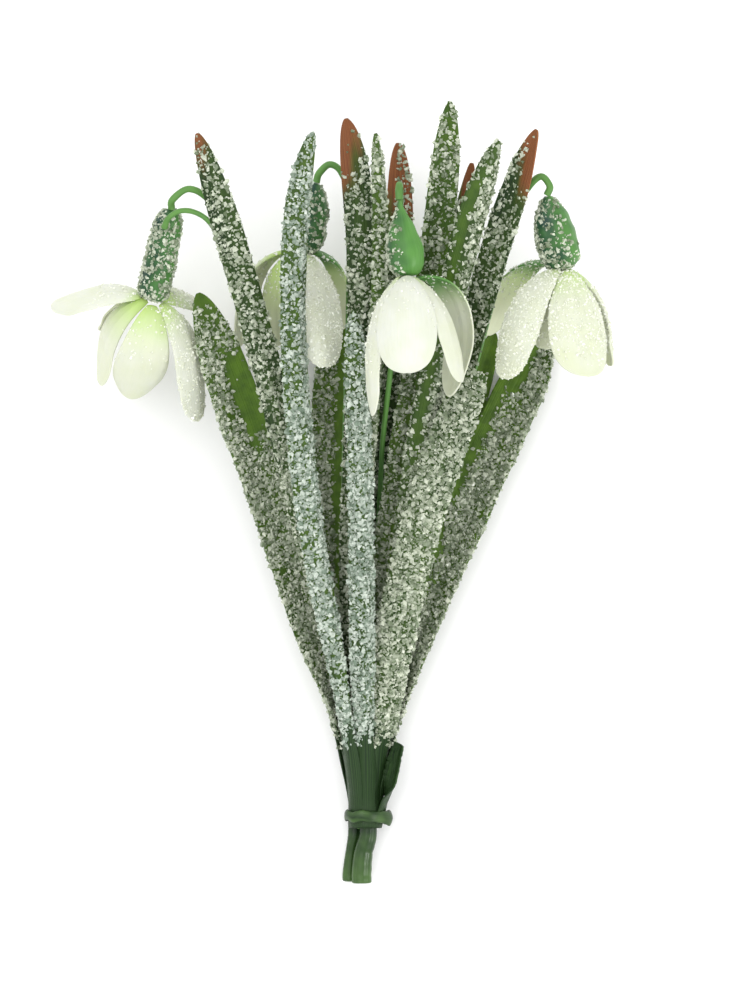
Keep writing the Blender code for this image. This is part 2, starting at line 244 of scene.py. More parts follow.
def petal_finish():
    material, tree, shader = new_finish("petal_white")
    ribs = grain(tree, 7.0, 2.0, (7, 0.5, 1), "UV")
    cloud = grain(tree, 160.0)
    white = blend_colours(tree, spread(tree, cloud, 0.35, 0.65), SHADED_WHITE, BRIGHT_WHITE)
    colour = blend_colours(tree, painted(tree, "cream"), white, CREAM)
    colour = blend_colours(tree, painted(tree, "fresh"), colour, FRESH_GREEN)
    colour = blend_colours(tree, painted(tree, "shoulder"), colour, SHOULDER_GREEN)
    faint = spread(tree, ribs, 0.35, 0.65, 0.0, 0.22)
    colour = blend_colours(tree, faint, colour, BETWEEN_RIBS, "MULTIPLY")
    tree.links.new(colour, shader.inputs["Base Color"])
    tree.links.new(spread(tree, cloud, 0.3, 0.7, 0.42, 0.6), shader.inputs["Roughness"])
    shader.inputs["Subsurface Weight"].default_value = 0.22
    shader.inputs["Subsurface Radius"].default_value = (1.0, 1.0, 0.6)
    shader.inputs["Subsurface Scale"].default_value = 0.0012
    relief(tree, shader, ribs, 0.35, 0.0003)
    return material


PETAL_WHITE = petal_finish()
print("finish:", PETAL_WHITE.name)

# %% [markdown]
# ### Caps, stems and foot
# The caps over the petals and the wire stems are moulded in a satin mid green. The foot is the same
# plastic, darker and shinier, with drawn-out streaks. All three come from one recipe with other colours.

# %% Stem, cap and foot finishes
STREAK_SHADE = (0.70, 0.80, 0.62)


def moulded_finish(name, dark, light, gloss, streak):
    material, tree, shader = new_finish(name)
    lines = grain(tree, 8.0, 2.0, streak, "UV")
    blotch = grain(tree, 260.0)
    green = blend_colours(tree, painted(tree, "tone"), dark, light)
    streaked = spread(tree, lines, 0.35, 0.65, 0.0, 0.55)
    green = blend_colours(tree, streaked, green, STREAK_SHADE, "MULTIPLY")
    green = blend_colours(tree, spread(tree, blotch, 0.4, 0.75, 0.0, 0.35), green, light)
    tree.links.new(green, shader.inputs["Base Color"])
    tree.links.new(spread(tree, blotch, 0.3, 0.7, gloss, gloss + 0.16), shader.inputs["Roughness"])
    shader.inputs["Specular IOR Level"].default_value = 0.3
    relief(tree, shader, lines, 0.4, 0.0003)
    return material


CAP_GREEN = moulded_finish("cap_green", (0.008, 0.040, 0.028), (0.085, 0.235, 0.045), 0.32, (4, 0.5, 1))
STEM_GREEN = moulded_finish("stem_green", (0.050, 0.150, 0.030), (0.120, 0.270, 0.060), 0.34, (2, 2, 1))
FOOT_GREEN = moulded_finish("foot_green", (0.008, 0.026, 0.007), (0.056, 0.118, 0.026), 0.26, (3, 0.4, 1))
print("finishes:", CAP_GREEN.name, STEM_GREEN.name, FOOT_GREEN.name)

# %% [markdown]
# ## Shaping helpers
# A leaf and a petal are both thin shells over a grid of points, one row for each place along them. The
# grid is made first, then Solidify gives it a wall, and one level of subdivision rounds the rim off. The
# finished shape becomes a plain mesh, so nothing is left live.

# %% Grid of points
CORNERS = ((0, 0), (1, 0), (1, 1), (0, 1))  # the columns and rows that a face's corners add in the UV map


def paint(mesh, values):
    """Writes lists of one number a point onto the mesh as attributes."""
    for name, numbers in values.items():
        mesh.attributes.new(name, "FLOAT", "POINT").data.foreach_set("value", numbers)


def new_object(name, data):
    """An object in the scene for this mesh, curve, lamp or camera."""
    made = bpy.data.objects.new(name, data)
    bpy.context.scene.collection.objects.link(made)
    return made


def faces_between(rows, across, columns):
    """The four corners of each face between neighbouring rows. As many columns as points close a ring."""
    return [
        (row * across + k, row * across + (k + 1) % across,
         (row + 1) * across + (k + 1) % across, (row + 1) * across + k)
        for row in range(rows - 1)
        for k in range(columns)
    ]


def uv_of_faces(rows, columns):
    """Where each corner of those faces lies on the UV map."""
    return [((k + right) / columns, (row + on) / (rows - 1))
            for row in range(rows - 1) for k in range(columns) for right, on in CORNERS]


def grid_object(name, rows, values, closed=False):
    """A grid of points in millimetres as an object. closed joins the last column to the first."""
    across = len(rows[0])
    columns = across if closed else across - 1
    mesh = bpy.data.meshes.new(name)
    mesh.from_pydata([place(p) for row in rows for p in row], [], faces_between(len(rows), across, columns))
    corners = uv_of_faces(len(rows), columns)
    mesh.uv_layers.new(name="UVMap").data.foreach_set("uv", [x for corner in corners for x in corner])
    paint(mesh, values)
    return new_object(name, mesh)


print("helpers: paint, new_object, faces_between, uv_of_faces, grid_object")

# %% Wall and plain mesh
def settled(obj):
    """The object's finished shape as a plain mesh object of the same name; the first object goes."""
    graph = bpy.context.evaluated_depsgraph_get()
    shown = obj.evaluated_get(graph)
    mesh = bpy.data.meshes.new_from_object(shown, preserve_all_data_layers=True, depsgraph=graph)
    name = obj.name
    bpy.data.objects.remove(obj)
    mesh.name = name
    return new_object(name, mesh)


def shell(obj, thick, material):
    """Gives a sheet its wall, rounds off the rim and dresses it."""
    wall = obj.modifiers.new("wall", "SOLIDIFY")
    wall.thickness = thick * MM
    wall.offset = 0
    round_off = obj.modifiers.new("round", "SUBSURF")
    round_off.levels = round_off.render_levels = 1
    made = settled(obj)
    made.data.materials.append(material)
    made.data.shade_smooth()
    return made


PIECES = []


def finish_piece(obj, slot=None, *nodes):
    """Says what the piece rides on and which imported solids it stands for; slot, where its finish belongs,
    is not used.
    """
    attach(obj, "root")
    if nodes:
        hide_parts(*nodes)
    PIECES.append(obj)


print("helpers: settled, shell, finish_piece")


# %% [markdown]
# ## Frost, made once and used everywhere
# Thousands of small chips are stuck to the leaves, caps and petals. They could be scattered by hand or by
# particles, but this is what Geometry Nodes are best at: spread points over a surface, put a chip on each,
# and turn and size it at random. How thick the frost is comes from the value "frost" painted on the
# surface. Every chip starts as a 20-sided ball, or a plain block where the frost is fine, and after it
# becomes real mesh its corners are pushed about at random, so no two are alike and each glints differently.
# The undersides get fewer.

# %% Size and turn of the chips
UNDERSIDE_SHARE = 0.35  # how much of the frost is left on faces that look down
MANY_SMALL = 1.7  # above 1, small chips outnumber large ones
MOST_TILT = 0.8  # radians
CORNER_PUSH = 0.42  # how far a chip's corners move, against its size


def random_number(tree, kind, inputs):
    """A random value for every point, chip or corner, from a fixed seed."""
    return result(add_node(tree, "FunctionNodeRandomValue", inputs, data_type=kind))


def chip_size(tree, given):
    """A chip's size from the smallest to the largest, and that size stretched at random into a scale."""
    chance = random_number(tree, "FLOAT", {"Seed": given["Seed"]})
    skewed = add_node(tree, "ShaderNodeMath", {0: chance, 1: MANY_SMALL}, operation="POWER").outputs[0]
    size = add_node(tree, "ShaderNodeMapRange", {
        "Value": skewed, "To Min": given["Smallest"], "To Max": given["Largest"]}).outputs[0]
    stretch = random_number(tree, "FLOAT_VECTOR", {
        "Min": (0.65, 0.65, 0.30), "Max": (1.15, 1.0, 0.85), "Seed": 3})
    scale = add_node(tree, "ShaderNodeVectorMath", {0: stretch, "Scale": size}, operation="SCALE")
    return size, scale.outputs[0]


def chip_turn(tree, upright):
    """The rotation that stands on the surface, tilted and turned at random."""
    tilt = random_number(tree, "FLOAT_VECTOR", {
        "Min": (-MOST_TILT, -MOST_TILT, 0.0), "Max": (MOST_TILT, MOST_TILT, 6.28), "Seed": 5})
    turn = add_node(tree, "FunctionNodeEulerToRotation", {"Euler": tilt}).outputs[0]
    return add_node(tree, "FunctionNodeRotateRotation", {
        "Rotation": upright, "Rotate By": turn}, rotation_space="LOCAL").outputs[0]


def chip_corners(tree, chips):
    """The chips with every corner pushed about, flat shaded."""
    push = random_number(tree, "FLOAT_VECTOR", {
        "Min": (-CORNER_PUSH,) * 3, "Max": (CORNER_PUSH,) * 3,
        "ID": add_node(tree, "GeometryNodeInputIndex").outputs[0], "Seed": 11})
    reach = result(add_node(tree, "GeometryNodeInputNamedAttribute", {"Name": "size"}, data_type="FLOAT"))
    offset = add_node(tree, "ShaderNodeVectorMath", {0: push, "Scale": reach}, operation="SCALE").outputs[0]
    uneven = add_node(tree, "GeometryNodeSetPosition", {"Geometry": chips, "Offset": offset})
    return add_node(tree, "GeometryNodeSetShadeSmooth", {
        "Geometry": uneven.outputs[0], "Shade Smooth": False}).outputs[0]


print("helpers: random_number, chip_size, chip_turn, chip_corners")

# %% The frost tree
def frost_tree():
    tree = bpy.data.node_groups.new("frost", "GeometryNodeTree")
    sockets = tree.interface
    sockets.new_socket("Surface", in_out="INPUT", socket_type="NodeSocketGeometry")
    for label, kind in (("Most per square metre", "Float"), ("Closest", "Float"), ("Smallest", "Float"),
                        ("Largest", "Float"), ("Seed", "Int"), ("Fine", "Bool"), ("Finish", "Material")):
        sockets.new_socket(label, in_out="INPUT", socket_type="NodeSocket" + kind)
    sockets.new_socket("Frost", in_out="OUTPUT", socket_type="NodeSocketGeometry")
    given = add_node(tree, "NodeGroupInput").outputs
    amount = result(add_node(tree, "GeometryNodeInputNamedAttribute", {"Name": "frost"}, data_type="FLOAT"))
    facing = add_node(tree, "GeometryNodeInputNormal").outputs["Normal"]
    upward = add_node(tree, "ShaderNodeSeparateXYZ", {"Vector": facing}).outputs["Z"]
    share = multiply(tree, amount, spread(tree, upward, -0.5, 0.1, UNDERSIDE_SHARE, 1.0))
    points = add_node(tree, "GeometryNodeDistributePointsOnFaces", {
        "Mesh": given["Surface"], "Density Max": given["Most per square metre"],
        "Distance Min": given["Closest"], "Density Factor": share, "Seed": given["Seed"],
    }, distribute_method="POISSON")
    size, scale = chip_size(tree, given)
    rotation = chip_turn(tree, points.outputs["Rotation"])
    ball = add_node(tree, "GeometryNodeMeshIcoSphere", {"Radius": 1.0, "Subdivisions": 1}).outputs["Mesh"]
    block = add_node(tree, "GeometryNodeMeshCube", {"Size": (1.6, 1.6, 1.6)}).outputs["Mesh"]
    chip = result(add_node(tree, "GeometryNodeSwitch", {
        "Switch": given["Fine"], "False": ball, "True": block}, input_type="GEOMETRY"))
    chips = add_node(tree, "GeometryNodeInstanceOnPoints", {
        "Points": points.outputs["Points"], "Instance": chip, "Rotation": rotation, "Scale": scale})
    own = random_number(tree, "FLOAT", {"Seed": 9})
    marked = add_node(tree, "GeometryNodeStoreNamedAttribute", {
        "Geometry": chips.outputs[0], "Name": "chip", "Value": own}, data_type="FLOAT", domain="INSTANCE")
    sized = add_node(tree, "GeometryNodeStoreNamedAttribute", {
        "Geometry": marked.outputs[0], "Name": "size", "Value": size}, data_type="FLOAT", domain="INSTANCE")
    real = add_node(tree, "GeometryNodeRealizeInstances", {"Geometry": sized.outputs[0]})
    dressed = add_node(tree, "GeometryNodeSetMaterial", {
        "Geometry": chip_corners(tree, real.outputs[0]), "Material": given["Finish"]})
    add_node(tree, "NodeGroupOutput", {"Frost": dressed.outputs[0]})
    return tree


FROST = frost_tree()
print("tree:", FROST.name, len(FROST.nodes), "nodes")

# %% Frost over a finished piece
# most is chips a square millimetre, closest the least gap between their middles in millimetres, and
# smallest and largest are their radii in millimetres.
Grit = namedtuple("Grit", "most closest smallest largest fine")
LEAF_GRIT = Grit(5.6, 0.36, 0.28, 0.86, False)
CAP_GRIT = Grit(6.0, 0.31, 0.25, 0.78, False)
PETAL_GRIT = Grit(5.0, 0.28, 0.14, 0.38, True)
BALL_FACES, BLOCK_FACES = 20, 6


def set_input(modifier, label, value):
    """Sets a Geometry Nodes input by the identifier of the socket with that name."""
    socket = next(s for s in modifier.node_group.interface.items_tree
                  if s.item_type == "SOCKET" and s.in_out == "INPUT" and s.name == label)
    modifier[socket.identifier] = value


def frost_over(surface, name, finish, grit, seed):
    """Makes the crystals on a finished surface, as a plain mesh of their own."""
    carrier = new_object(name, surface.data.copy())
    scatter = carrier.modifiers.new("frost", "NODES")
    scatter.node_group = FROST
    set_input(scatter, "Most per square metre", grit.most / MM**2)
    set_input(scatter, "Closest", grit.closest * MM)
    set_input(scatter, "Smallest", grit.smallest * MM)
    set_input(scatter, "Largest", grit.largest * MM)
    set_input(scatter, "Seed", seed)
    set_input(scatter, "Fine", grit.fine)
    set_input(scatter, "Finish", finish)
    made = settled(carrier)
    print(f"{name}: {len(made.data.polygons) // (BLOCK_FACES if grit.fine else BALL_FACES)} crystals")
    finish_piece(made)


print("grit: leaf", LEAF_GRIT, "cap", CAP_GRIT, "petal", PETAL_GRIT)

# %% [markdown]
# ## The leaves
# The bunch has fifteen strap leaves and one short torn sheath. Each leaf leaves the tie at its own place in
# the ring, swings out through two points to its tip, and turns its face on the way. The curve is one cubic
# through four places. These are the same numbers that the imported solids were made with, so the finer
# leaves land exactly on them. A leaf could be sculpted, but sixteen of them follow one rule, and a table
# keeps them easy to change.

# %% The leaves' table
Ring = namedtuple("Ring", "radius half_width")
OUTER, MIDDLE, INNER, CUT = Ring(4.1, 1.3), Ring(2.9, 0.9), Ring(1.5, 0.6), Ring(5.6, 1.6)
ROOT_LOW, ROOT_HIGH = 13.8, 19.6  # roots run straight from just under the tie to just above it
Leaf = namedtuple("Leaf", "name ring angle low high tip width face fold grown taper end")
LEAVES = [
    Leaf("leaf_left_wide", OUTER, 180, (-10.6, 59, 10), (-25.2, 103, 18), (-41, 148.5, 32),
         12.8, 74, 14, 0.42, 0.82, 0.4),
    Leaf("leaf_left_tall", MIDDLE, 186, (-11, 74, 20.5), (-23.5, 128, 34), (-41, 188, 46),
         8, 285, 14, 0.55, 0.86, 0.4),
    Leaf("leaf_front_left", OUTER, 135, (-9, 72, 28), (-15.5, 130, 43), (-12, 188, 52),
         8.8, 238, 34, 0.5, 0.86, 0.4),
    Leaf("leaf_russet_left", MIDDLE, 131, (-3, 74, 17.5), (0, 134, 31), (-4, 192, 37),
         8, 276, 14, 0.55, 0.89, 0.4),
    Leaf("leaf_narrow_centre", MIDDLE, 90, (-0.5, 74, 22), (4.3, 134, 34.5), (3.5, 188, 45),
         5.6, 240, 38, 0.55, 0.84, 0.4),
    Leaf("leaf_russet_centre", OUTER, 270, (1.5, 74, 10), (7, 132, 24), (9, 186, 33),
         7.2, 80, 14, 0.55, 0.88, 0.4),
    Leaf("leaf_tall_centre", INNER, 90, (5.3, 76, 16.3), (15, 136, 31), (22, 196, 42),
         8, 96, 18, 0.5, 0.87, 0.4),
    Leaf("leaf_folded_right", MIDDLE, 42, (9.5, 74, 20.3), (20, 134, 37.5), (34, 186, 50),
         8.6, 250, 30, 0.55, 0.85, 0.4),
    Leaf("leaf_russet_right", MIDDLE, 0, (12, 74, 14), (25.5, 131, 28), (43.5, 189, 44),
         8.5, 120, 14, 0.55, 0.87, 0.4),
    Leaf("leaf_russet_back", MIDDLE, 308, (7, 74, 7), (18, 132, 20), (27.5, 181, 32),
         5, 95, 14, 0.55, 0.84, 0.4),
    Leaf("leaf_front_centre", OUTER, 90, (0.5, 60, 25), (0, 103, 38), (-2, 144, 44),
         8, 258, 40, 0.32, 0.82, 0.4),
    Leaf("leaf_back_left", OUTER, 225, (-6.2, 57, 4), (-8, 101, 3.3), (-6, 146, 0.6),
         10.5, 88, 12, 0.32, 0.8, 0.4),
    Leaf("leaf_front_right", OUTER, 45, (6.4, 53, 18), (15.5, 93, 30), (28.5, 129, 39),
         10.5, 275, 12, 0.29, 0.84, 2.4),
    Leaf("leaf_right_wide", OUTER, 0, (13, 57, 8), (28.5, 99, 7.5), (47, 137.5, 0.7),
         13.6, 104, 14, 0.75, 0.83, 0.4),
    Leaf("leaf_back_right", OUTER, 315, (10, 56, 3.2), (21, 99, 2.6), (33.5, 139, 1.8),
         8, 96, 12, 0.55, 0.83, 0.4),
    Leaf("sheath_stub", CUT, 25, (7.5, 24.5, 9.4), (8.6, 30, 10.6), (9.8, 35.3, 11.6),
         5, 145, 16, 0.32, 0.9, 1.9),
]

print("leaves:", len(LEAVES))

# %% [markdown]
# ### How each leaf looks
# No two leaves are frosted alike. cover is how thick the crystals lie, tone runs from blackish 0 to olive 1,
# russet is the share of the length where a red-brown tip begins, and bare lists the patches without
# crystals as left, right, start and end: left and right run from -1 to 1 across the leaf as it is seen
# from above, start and end from 0 at the foot to 1 at the tip.

# %% The looks' table
Look = namedtuple("Look", "cover tone ice russet bare")
LOOKS = {
    "leaf_left_wide": Look(1.00, 0.62, WARM_ICE, 2.0, [(0.05, 1.2, 0.74, 0.90), (-1.2, 1.2, 0.965, 1.1)]),
    "leaf_left_tall": Look(0.80, 0.16, WARM_ICE, 0.982, []),
    "leaf_front_left": Look(1.00, 0.45, COOL_ICE, 2.0, [(0.80, 1.2, 0.32, 1.1)]),
    "leaf_russet_left": Look(0.62, 0.12, WARM_ICE, 0.925, [(-1.2, 0.4, 0.915, 1.1), (-1.2, 1.2, 0.965, 1.1)]),
    "leaf_narrow_centre": Look(0.95, 0.50, WARM_ICE, 2.0, [(0.66, 1.2, 0.45, 1.1)]),
    "leaf_russet_centre": Look(0.60, 0.12, WARM_ICE, 0.88, [(-1.2, -0.35, 0.88, 1.1)]),
    "leaf_tall_centre": Look(0.85, 0.60, WARM_ICE, 2.0, [(0.3, 1.2, 0.0, 0.5)]),
    "leaf_folded_right": Look(0.95, 0.30, WARM_ICE, 2.0, [(-0.75, -0.25, 0.5, 0.95)]),
    "leaf_russet_right": Look(0.66, 0.12, WARM_ICE, 0.935, [(-0.1, 1.2, 0.92, 1.1), (-1.2, 1.2, 0.975, 1.1)]),
    "leaf_russet_back": Look(0.50, 0.15, WARM_ICE, 0.90, [(-1.2, 1.2, 0.92, 1.1)]),
    "leaf_front_centre": Look(1.00, 0.35, COOL_ICE, 2.0, []),
    "leaf_back_left": Look(0.90, 0.85, WARM_ICE, 2.0, [(0.2, 1.2, 0.1, 1.1)]),
    "leaf_front_right": Look(1.00, 0.30, WARM_ICE, 2.0, []),
    "leaf_right_wide": Look(1.15, 0.70, WARM_ICE, 2.0, [(-1.2, -0.5, 0.0, 0.9), (-1.2, -0.1, 0.86, 1.0)]),
    "leaf_back_right": Look(0.25, 0.80, WARM_ICE, 2.0, [(-1.2, 1.2, 0.3, 1.1)]),
    "sheath_stub": Look(0.00, 0.20, WARM_ICE, 2.0, []),
}
SHEATH_TOP = 36.0  # frost starts here, above the bare sheaths of the foot
print("looks:", len(LOOKS))

# %% [markdown]
# ### One leaf's section
# A leaf is widest near its middle and closes in a rounded point. Across, it is folded a little along its
# middle like a shallow gutter, with a fine keel underneath. The rim gets a slight ripple and the width
# wanders a few per cent, because moulded leaves that are perfectly even look like paper strips.

# %% Where a leaf's points go
ACROSS = [k / 7 - 1 for k in range(15)]
LEAF_STATIONS = 64
KEEL = 0.28  # height of the keel, in millimetres
RIPPLE = 0.30  # height of the ripple at the rim
WAVER = 0.04  # how far the width wanders, as a share of it
TIP_CLOSING = 0.65  # below 1 the tip is blunter
SHEATH_WIDER = 0.9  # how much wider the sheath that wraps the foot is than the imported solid's root
WRAP_RADIUS = 3.4
STUB_WRAP = 0.45  # how far the torn sheath wraps, against the others
STUB_TUCK = Vector((-1.0, -1.6, -0.4))  # brings the torn sheath's own root in behind the band


def through(p0, p1, p2, p3, t):
    """The cubic that passes p0, p1, p2 and p3 at t = 0, 1/3, 2/3 and 1."""
    a, b, c = 3 * t - 1, 3 * t - 2, t - 1
    return (p1 * (9 * b * t) - p2 * (9 * a * t)) * c / 2 + (p3 * t - p0 * c) * a * b / 2


def direction(angle):
    """The unit vector across the bunch at this angle: 0 is right, 90 is up."""
    turned = math.radians(angle)
    return Vector((math.cos(turned), 0, math.sin(turned)))


def leaf_centre(leaf, t):
    """The middle of the leaf at t from 0, above the tie, to 1, the tip. Below 0 it runs down the tie."""
    spot = TIE_CENTRE + direction(leaf.angle) * leaf.ring.radius
    if t < 0:
        return Vector((spot.x, ROOT_LOW, spot.z))
    root = Vector((spot.x, ROOT_HIGH, spot.z))
    if leaf.ring is CUT:
        root += STUB_TUCK
    return through(root, Vector(leaf.low), Vector(leaf.high), Vector(leaf.tip), t)


def leaf_half_width(leaf, t):
    """Half the width in millimetres: the root, the full leaf, then the closing tip."""
    grown = leaf.ring.half_width + (leaf.width / 2 - leaf.ring.half_width) * smooth(0, leaf.grown, t)
    beyond = max((t - leaf.taper) / (1 - leaf.taper), 0)
    return leaf.end + (grown - leaf.end) * (1 - beyond**2) ** TIP_CLOSING


print("leaf sections:", len(ACROSS), "points across,", LEAF_STATIONS, "steps along")

# %% One row of a leaf


def leaf_row(leaf, t, seed):
    """The points across the leaf at t, in millimetres."""
    step = 0.01
    along = Vector((0, 1, 0))
    if t > 0:
        along = (leaf_centre(leaf, t + step) - leaf_centre(leaf, t - step)).normalized()
    root_face = leaf.angle + 180
    turn = (leaf.face - root_face + 180) % 360 - 180
    up = direction(root_face + turn * smooth(0, 0.45, t))
    up = (up - along * up.dot(along)).normalized()
    side = along.cross(up)
    half = leaf_half_width(leaf, t) * (1 + WAVER * wander(seed, t, 0, 0.08) * smooth(0.2, 0.4, t))
    fold = math.radians(leaf.fold) * smooth(0, 0.2, t)
    sheathed = STUB_WRAP * smooth(1.0, 0.3, t) if leaf.ring is CUT else smooth(0.16, 0.04, t)
    half *= 1 + SHEATH_WIDER * sheathed
    flat, raised = side * (half * math.cos(fold)), up * (half * math.sin(fold))
    wrapped = up * (sheathed * half**2 / (2 * WRAP_RADIUS))
    centre = leaf_centre(leaf, t)
    row = []
    for s in ACROSS:
        keel = KEEL * math.exp(-((s / 0.14) ** 2)) * smooth(0.05, 0.3, t) * smooth(1.0, 0.85, t)
        ripple = RIPPLE * abs(s) ** 3 * wander(seed + 1 + (s > 0), t, 0, 0.05) * smooth(0.2, 0.4, t)
        row.append(centre + flat * s + raised * abs(s) ** 1.4 + wrapped * s**2 + up * (ripple - keel))
    return row


print("a leaf's widest:", max(round(2 * leaf_half_width(leaf, 0.6), 1) for leaf in LEAVES), "mm")


# %% [markdown]
# ### What is painted on a leaf
# Four values go on every point: frost for the scatter, and tone, russet and sheath for the colour. A patch
# with straight edges would look cut out, so noise shifts every edge a little.

# %% Painting a leaf
THIN_CRUST = 0.70  # share of the crystals near the tips, against the thick crust lower down
CRUST_GROWS = (150.0, 95.0)  # heights between which the crust thickens, in millimetres


def in_patch(patch, right, t, seed):
    """1 inside a bare patch, 0 outside, with a frayed edge."""
    left_edge, right_edge, start, end = patch
    fray = wander(seed, right, t * 12, 0.5)
    across = smooth(left_edge - 0.12, left_edge + 0.12, right + 0.12 * fray)
    across *= smooth(right_edge + 0.12, right_edge - 0.12, right + 0.12 * fray)
    frayed = t + 0.02 * fray
    along = smooth(start - 0.02, start + 0.02, frayed) * smooth(end + 0.02, end - 0.02, frayed)
    return across * along


def leaf_values(leaf, look, rows, shares, seed):
    """The lists of frost, tone, russet and sheath, one number for every point of the rows."""
    hand = 1 if math.sin(math.radians(leaf.face)) > 0 else -1
    values = {"frost": [], "tone": [], "russet": [], "sheath": []}
    for row, t in zip(rows, shares):
        for s, point in zip(ACROSS, row):
            right = s * hand
            bare = max([in_patch(patch, right, t, seed) for patch in look.bare], default=0)
            patchy = min(max(0.9 + 0.35 * wander(seed + 3, point.x, point.y, 4.0), 0.35), 1.0)
            top = SHEATH_TOP + 3.0 * wander(4, point.x, point.z, 2.0)
            frosted = smooth(top - 1.5, top + 2.5, point.y)
            crust = THIN_CRUST + (1 - THIN_CRUST) * smooth(*CRUST_GROWS, point.y)
            values["frost"].append(look.cover * (1 - 0.97 * bare) * patchy * frosted * crust)
            values["tone"].append(min(max(look.tone + 0.25 * bare + 0.2 * wander(seed, t * 9, s, 1.0), 0), 1))
            edge = look.russet + 0.03 * wander(seed + 5, right, t * 10, 0.6) - 0.03 * right * hand
            values["russet"].append(smooth(edge - 0.02, edge + 0.03, t))
            values["sheath"].append(1 - smooth(top + 2.0, top + 12.0, point.y))
    return values


print("thin crust above", CRUST_GROWS[0], "mm, thick below", CRUST_GROWS[1], "mm")

# %% [markdown]
# ### Making them all
# The rows become a grid, the grid gets a wall and a rounded rim, and then the frost is scattered over the
# finished leaf, both faces and the rim, so the outline turns crusty as it does on a dipped leaf.

# %% Leaves and their frost
LEAF_THICK = 0.5


def make_leaf(leaf, seed):
    """One leaf and its crystals. The rows lie closer together towards the tip."""
    shares = [1 - (1 - k / LEAF_STATIONS) ** 1.2 for k in range(LEAF_STATIONS + 1)]
    if leaf.ring is not CUT:
        shares = [-1] + shares
    rows = [leaf_row(leaf, t, seed) for t in shares]
    look = LOOKS[leaf.name]
    made = grid_object(leaf.name + "_blade", rows, leaf_values(leaf, look, rows, shares, seed))
    made = shell(made, LEAF_THICK, LEAF_GREEN)
    finish_piece(made, "leaf" if leaf.ring is not CUT else "foot", leaf.name)
    if look.cover > 0:
        frost_over(made, leaf.name + "_frost", look.ice, LEAF_GRIT, seed)


for number, leaf in enumerate(LEAVES):
    make_leaf(leaf, number * 10 + 1)

# %% [markdown]
# ## The flowers
# A snowdrop has six petals in two rings of three. Most leave the base at a wide angle and curve inwards,
# so the flower is a bell. A petal bends most near its base, runs nearly straight to its tip, and is
# hollowed on an arc across its width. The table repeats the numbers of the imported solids.

# %% The flowers' table
# A petal leaves the base at this turn round the flower's axis, 0 to the right and 90 up. low and high are
# the angles from the axis at which it sets out and ends. length runs along it and width is its widest.
Petal = namedtuple("Petal", "turn length width low high")
# A flower hangs from base, where its petals meet, along aim. calyx_top is where its stem enters, and
# calyx is the cap's largest radius. petals are outer and inner in turn. stem lists the points that the
# stem passes, calyx end first, and root is its place in the tie.
Flower = namedtuple("Flower", "name base aim calyx_top calyx petals root stem")
FLOWERS = [
    Flower("left", (-52.5, 147, 30.3), (-0.2, -0.78, -0.55), (-47.5, 169, 39), 4.0,
           [Petal(80, 33, 15, 80, -32), Petal(151, 30, 10.5, 77, -13),
            Petal(186, 25, 13.5, 95, 48), Petal(225, 24, 11, 72, 14),
            Petal(19, 34, 14, 73, 12), Petal(306, 22, 13, 95, 50)], (INNER, 180),
           [(-47.2, 171.5, 40), (-43.5, 174.2, 40), (-39.5, 172.7, 39), (-36.8, 168, 37.5),
            (-31.5, 147, 32.5), (-24, 122, 27), (-16.5, 98, 21.5), (-8.5, 65, 14), (-4.4, 44, 9),
            (-2.9, 35, 7.2)]),
    Flower("back_left", (-15.5, 159, 23.5), (-0.1, -0.97, -0.1), (-11.5, 176, 27.5), 5.2,
           [Petal(62, 33, 14, 70, 14), Petal(136, 27, 12, 70, -20),
            Petal(200, 32, 14, 85, -6), Petal(242, 21, 11, 60, -22),
            Petal(276, 24, 11.5, 72, -10), Petal(334, 27, 12, 112, -4)], (MIDDLE, 225),
           [(-10.7, 178.5, 28), (-8, 180.7, 28.5), (-5, 178.3, 28.5), (-3.2, 170, 27.5), (-3.5, 140, 22.5),
            (-4.5, 100, 15), (-4, 65, 9.5), (-1.1, 35, 5.8)]),
    Flower("centre", (11.5, 152, 53), (0.03, -0.96, 0.10), (9.3, 171, 51), 4.6,
           [Petal(95, 29, 17.0, 66, 0), Petal(132, 21, 11, 48, -4),
            Petal(165, 37, 12.5, 50, -6), Petal(273, 20, 11, 56, -14),
            Petal(324, 40, 13, 112, -26), Petal(24, 31, 12.5, 62, 5)], (INNER, 20),
           [(9.1, 173.5, 50.6), (9.3, 175, 48.5), (9.5, 172, 46.5), (9.3, 150, 42), (7, 128, 34.5),
            (5.2, 112, 24.5), (4.5, 98, 17.5), (3, 65, 10.8), (2, 35, 6.7)]),
    Flower("right", (50.5, 154.5, 34), (-0.12, -0.97, -0.12), (46.2, 172.5, 38), 5.1,
           [Petal(130, 34, 13, 76, 6), Petal(109, 22, 12, 60, 0),
            Petal(69, 32, 17.5, 66, 28), Petal(340, 29, 12, 75, 10),
            Petal(221, 33, 13, 114, 10), Petal(244, 22, 12, 60, -24)], (INNER, 300),
           [(46.8, 175, 38.5), (44.6, 177.4, 38.5), (41.5, 174.6, 37.5), (38.5, 168, 35.5), (31, 140, 26.5),
            (20.5, 102, 15.5), (10, 65, 8.8), (4.3, 35, 5.6)]),
]
OUTER_BASE, INNER_BASE = 2.6, 1.3  # how far from the axis an outer and an inner petal begin
PETAL_HOLLOW, PETAL_THICK = 10.5, 0.5
TOUCH_GAP = 0.3  # what is left between two pieces that touch
print("flowers:", [flower.name for flower in FLOWERS])

# %% [markdown]
# ### How each petal looks
# frost is how thick the fine crystals lie and reach the share of the length they cover, from the base.
# shoulder is how far bare green runs down from the base, fresh how far the yellow-green runs, and cream
# how warm the rest is. A petal that isn't named takes the plain look.

